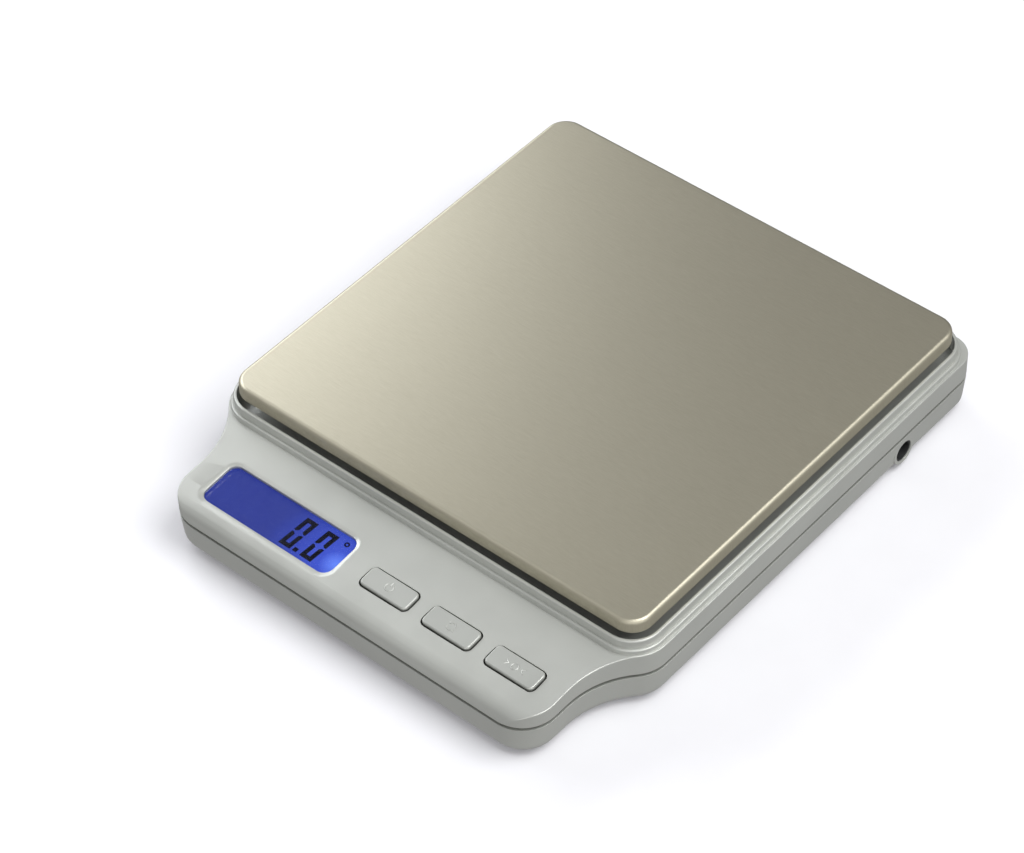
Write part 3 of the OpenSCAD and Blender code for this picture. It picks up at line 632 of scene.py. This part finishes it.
def upper_shell():
    """Upper casing: a wider round along the top of the outer wall, small rounds elsewhere."""
    bm = clean_mesh("upper_casing")
    above_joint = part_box("lower_casing")[1].z - 1.4 * MM
    above_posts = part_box("upper_casing")[0].z + 0.5 * MM

    def on_wall(edge):
        walls = [f for f in edge.link_faces if abs(f.normal.z) < 0.05]
        tops = [f for f in edge.link_faces if f.normal.z > 0.05]
        return bool(walls and tops) and min(v.co.z for v in walls[0].verts) < above_joint

    def off_posts(edge):
        return max(v.co.z for v in edge.verts) > above_posts

    round_off(bm, outer_edges(bm, WALL_ROUND, on_wall), WALL_ROUND, 4)
    round_off(bm, outer_edges(bm, LEDGE_ROUND, off_posts), LEDGE_ROUND)
    finished(bm, "upper_shell", body_of_node("upper_casing"), SLOT_OF["upper_casing"], ["upper_casing"])


def digit_segments():
    """Outlines of a zero's six segments, round its centre, with slanted ends and not yet leaning."""
    w, h, s = DIGIT_WIDTH / 2, DIGIT_HEIGHT / 2, DIGIT_STROKE
    top = [(-w + s, h - s), (w - s, h - s), (w, h), (-w, h)]
    side = [(w - s, 0.4 * s + DIGIT_BREAK), (w - 0.5 * s, DIGIT_BREAK), (w, DIGIT_BREAK), (w, h),
            (w - s, h - s)]
    outlines = [[(x, y * v) for x, y in top] for v in (1, -1)]
    outlines += [[(x * u, y * v) for x, y in side] for u in (1, -1) for v in (1, -1)]
    return outlines


def display_ink():
    """The dark digits 0.0 and a small ring, on top of the glass."""
    bm = bmesh.new()
    shapes = [[(x + spot, y) for x, y in outline] for spot in DIGIT_SPOTS for outline in digit_segments()]
    half = DIGIT_STROKE / 2
    square = ((-half, -half), (half, -half), (half, half), (-half, half))
    shapes.append([(POINT_SPOT[0] + x, POINT_SPOT[1] + y) for x, y in square])
    for shape in shapes:
        prism(bm, [(x + DIGIT_SLANT * y, y + DIGIT_RISE) for x, y in shape], INK_LOW, INK_TOP)
    ring(bm, RING_SPOT, RING_RADII, INK_LOW, INK_TOP)
    bmesh.ops.recalc_face_normals(bm, faces=bm.faces)
    bm.transform(on_top_of("lcd_glass", "lcd_window"))
    piece = finished(bm, "display_ink", "housing", "lcd_glass")
    piece.data.materials[0] = printed_ink("display_ink")


def power_sign(bm):
    """A broken circle with a stroke through its gap."""
    ridge(bm, bend(SIGN_RADIUS, 125, 415))
    ridge(bm, [(0, 0.5 * MM), (0, 1.9 * MM)])


def unit_sign(bm):
    """Two arrows that turn round one another."""
    for turn in (0, 180):
        arc = bend(SIGN_RADIUS, turn + 20, turn + 150)
        tips = [point_at(turn + slant, 0.7 * MM, arc[-1]) for slant in (15, 105)]
        ridge(bm, arc)
        ridge(bm, [tips[0], arc[-1], tips[1]])


def tare_sign(bm):
    """A small circle between two arrowheads that point at it."""
    for side in (1, -1):
        ridge(bm, [(side * x * MM, y * MM) for x, y in ((3.4, 0.9), (2.3, 0), (3.4, -0.9))])
    ridge(bm, circle(1.1 * MM), closed=True)


def key_signs():
    """A raised sign on each key, which rides on it."""
    for key, draw in (("power", power_sign), ("unit", unit_sign), ("tare", tare_sign)):
        bm = bmesh.new()
        draw(bm)
        bmesh.ops.recalc_face_normals(bm, faces=bm.faces)
        bm.transform(on_top_of(key + "_button") @ Matrix.Translation((0, 0, -SIGN_SINK)))
        finished(bm, key + "_sign", key + "_key", "key_plastic")


def assign_cad_materials():
    """Gives the CAD nodes that show as they are the finish of their slot."""
    for node in frame["nodes"].values():
        for k, material in enumerate(node.data.materials):
            node.data.materials[k] = MATERIALS[material.name]


# Rounded nodes: new name, edge round in millimetres
ROUNDED = {
    "lower_casing": ("lower_shell", 0.1), "platform_pan": ("weighing_pan", 0.1),
    "power_button": ("power_cap", 0.12), "unit_button": ("unit_cap", 0.12),
    "tare_button": ("tare_cap", 0.12), "rubber_feet": ("feet", 0.25),
    "casing_screws": ("body_screws", 0.12), "dc_jack": ("socket_body", 0.15),
    "battery_door": ("door", 0.15), "platform_carrier": ("carrier_tray", 0.2),
    "lcd_frame": ("display_frame", 0.12), "lcd_glass": ("display_glass", 0.08),
    "main_pcb": ("board", 0.08), "processor_chip": ("processor", 0.1),
    "converter_chip": ("converter", 0.1), "capacitors": ("capacitor_cans", 0.25),
    "crystal": ("crystal_can", 0.3), "power_switch": ("power_switch_body", 0.12),
    "unit_switch": ("unit_switch_body", 0.12), "tare_switch": ("tare_switch_body", 0.12),
    "battery_1": ("cell_1", 0.3), "battery_2": ("cell_2", 0.3), "battery_3": ("cell_3", 0.3),
    "battery_contacts": ("contact_plates", 0.06), "load_cell": ("beam", 0.15),
    "strain_gauges": ("gauges", 0.1), "load_cell_base_plate": ("base_plate", 0.12),
    "load_cell_base_screws": ("beam_base_screws", 0.15),
    "overload_stop_screw": ("stop_screw", 0.12), "platform_screws": ("tray_screws", 0.15),
    "pan_pads": ("pads", 0.15), "pcb_screws": ("board_screws", 0.1), "door_pad": ("cell_pad", 0.15),
}

# Swept nodes and their new names
SWEPT = {
    "dc_lead_red": "supply_lead_red", "dc_lead_black": "supply_lead_black",
    "battery_lead_red": "cell_lead_red", "battery_lead_black": "cell_lead_black",
    "load_cell_cable": "beam_cable", "battery_springs": "cell_springs",
}

SLOT_OF = {name: node.data.materials[0].name for name, node in frame["nodes"].items()}
MATERIALS = add_materials()
assign_cad_materials()
add_camera()
add_floor()
add_lights()
add_surround()
upper_shell()
rounded_piece("load_cell_top_plate", "top_plate", PLATE_ROUND, UP, PLATE_ROOM)
rounded_piece("lcd_window", "window_lens", PLATE_ROUND, OUT, LENS_ROOM)
display_ink()
key_signs()
for node, (name, width) in ROUNDED.items():
    rounded_piece(node, name, width * MM)
for node, name in SWEPT.items():
    swept_piece(node, name)

view = bpy.context.scene.view_settings
view.view_transform = "Standard"
view.look = "None"
